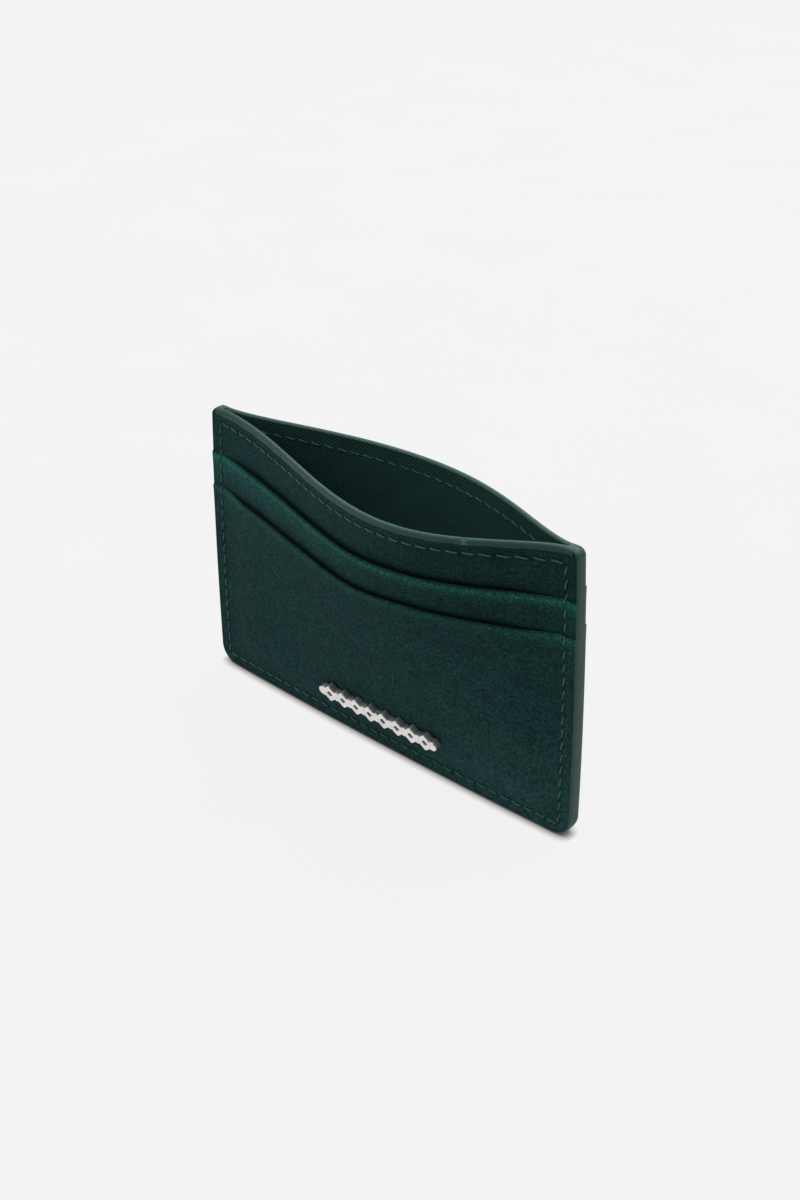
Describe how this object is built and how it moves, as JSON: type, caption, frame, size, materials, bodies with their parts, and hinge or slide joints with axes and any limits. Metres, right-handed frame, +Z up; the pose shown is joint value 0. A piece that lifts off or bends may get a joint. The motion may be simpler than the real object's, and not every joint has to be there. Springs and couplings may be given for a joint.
{
  "type": "card holder",
  "caption": "Slim suede card holder with stacked card slots on both faces, a twill-lined centre pocket standing open, painted edges and a small polished metal badge.",
  "frame": {"origin": "middle of the bottom edge, in the plane where the two walls meet at the side seams", "axes": "+X along the width, to the right as the badge side is faced; -Y towards the badge side; +Z up, out of the pockets' mouths"},
  "size_m": [0.105, 0.0274, 0.068],
  "materials": {
    "suede": "napped suede, dark green",
    "twill_lining": "fine diagonal twill, very dark green",
    "stiffener": "bonded fibre board, hidden",
    "edge_paint": "rubbery acrylic edge paint, satin",
    "thread": "fine polyester sewing thread",
    "badge_metal": "polished silver-coloured light alloy; the kind of metal is a guess",
    "fixing_metal": "plain plated steel, hidden"
  },
  "bodies": {
    "root": {"front_lining": "twill_lining", "back_lining": "twill_lining", "front_stiffener": "stiffener", "back_stiffener": "stiffener", "front_body_panel": "suede", "back_body_panel": "suede", "front_upper_pocket": "suede", "back_upper_pocket": "suede", "front_lower_pocket": "suede", "back_lower_pocket": "suede", "front_rim_paint": "edge_paint", "back_rim_paint": "edge_paint", "side_and_bottom_edge_paint": "edge_paint", "front_rim_thread": "thread", "back_rim_thread": "thread", "front_seam_thread": "thread", "back_seam_thread": "thread", "front_slot_foot_thread": "thread", "back_slot_foot_thread": "thread", "badge": "badge_metal", "badge_posts": "fixing_metal", "badge_washers": "fixing_metal"}
  },
  "joints": []
}
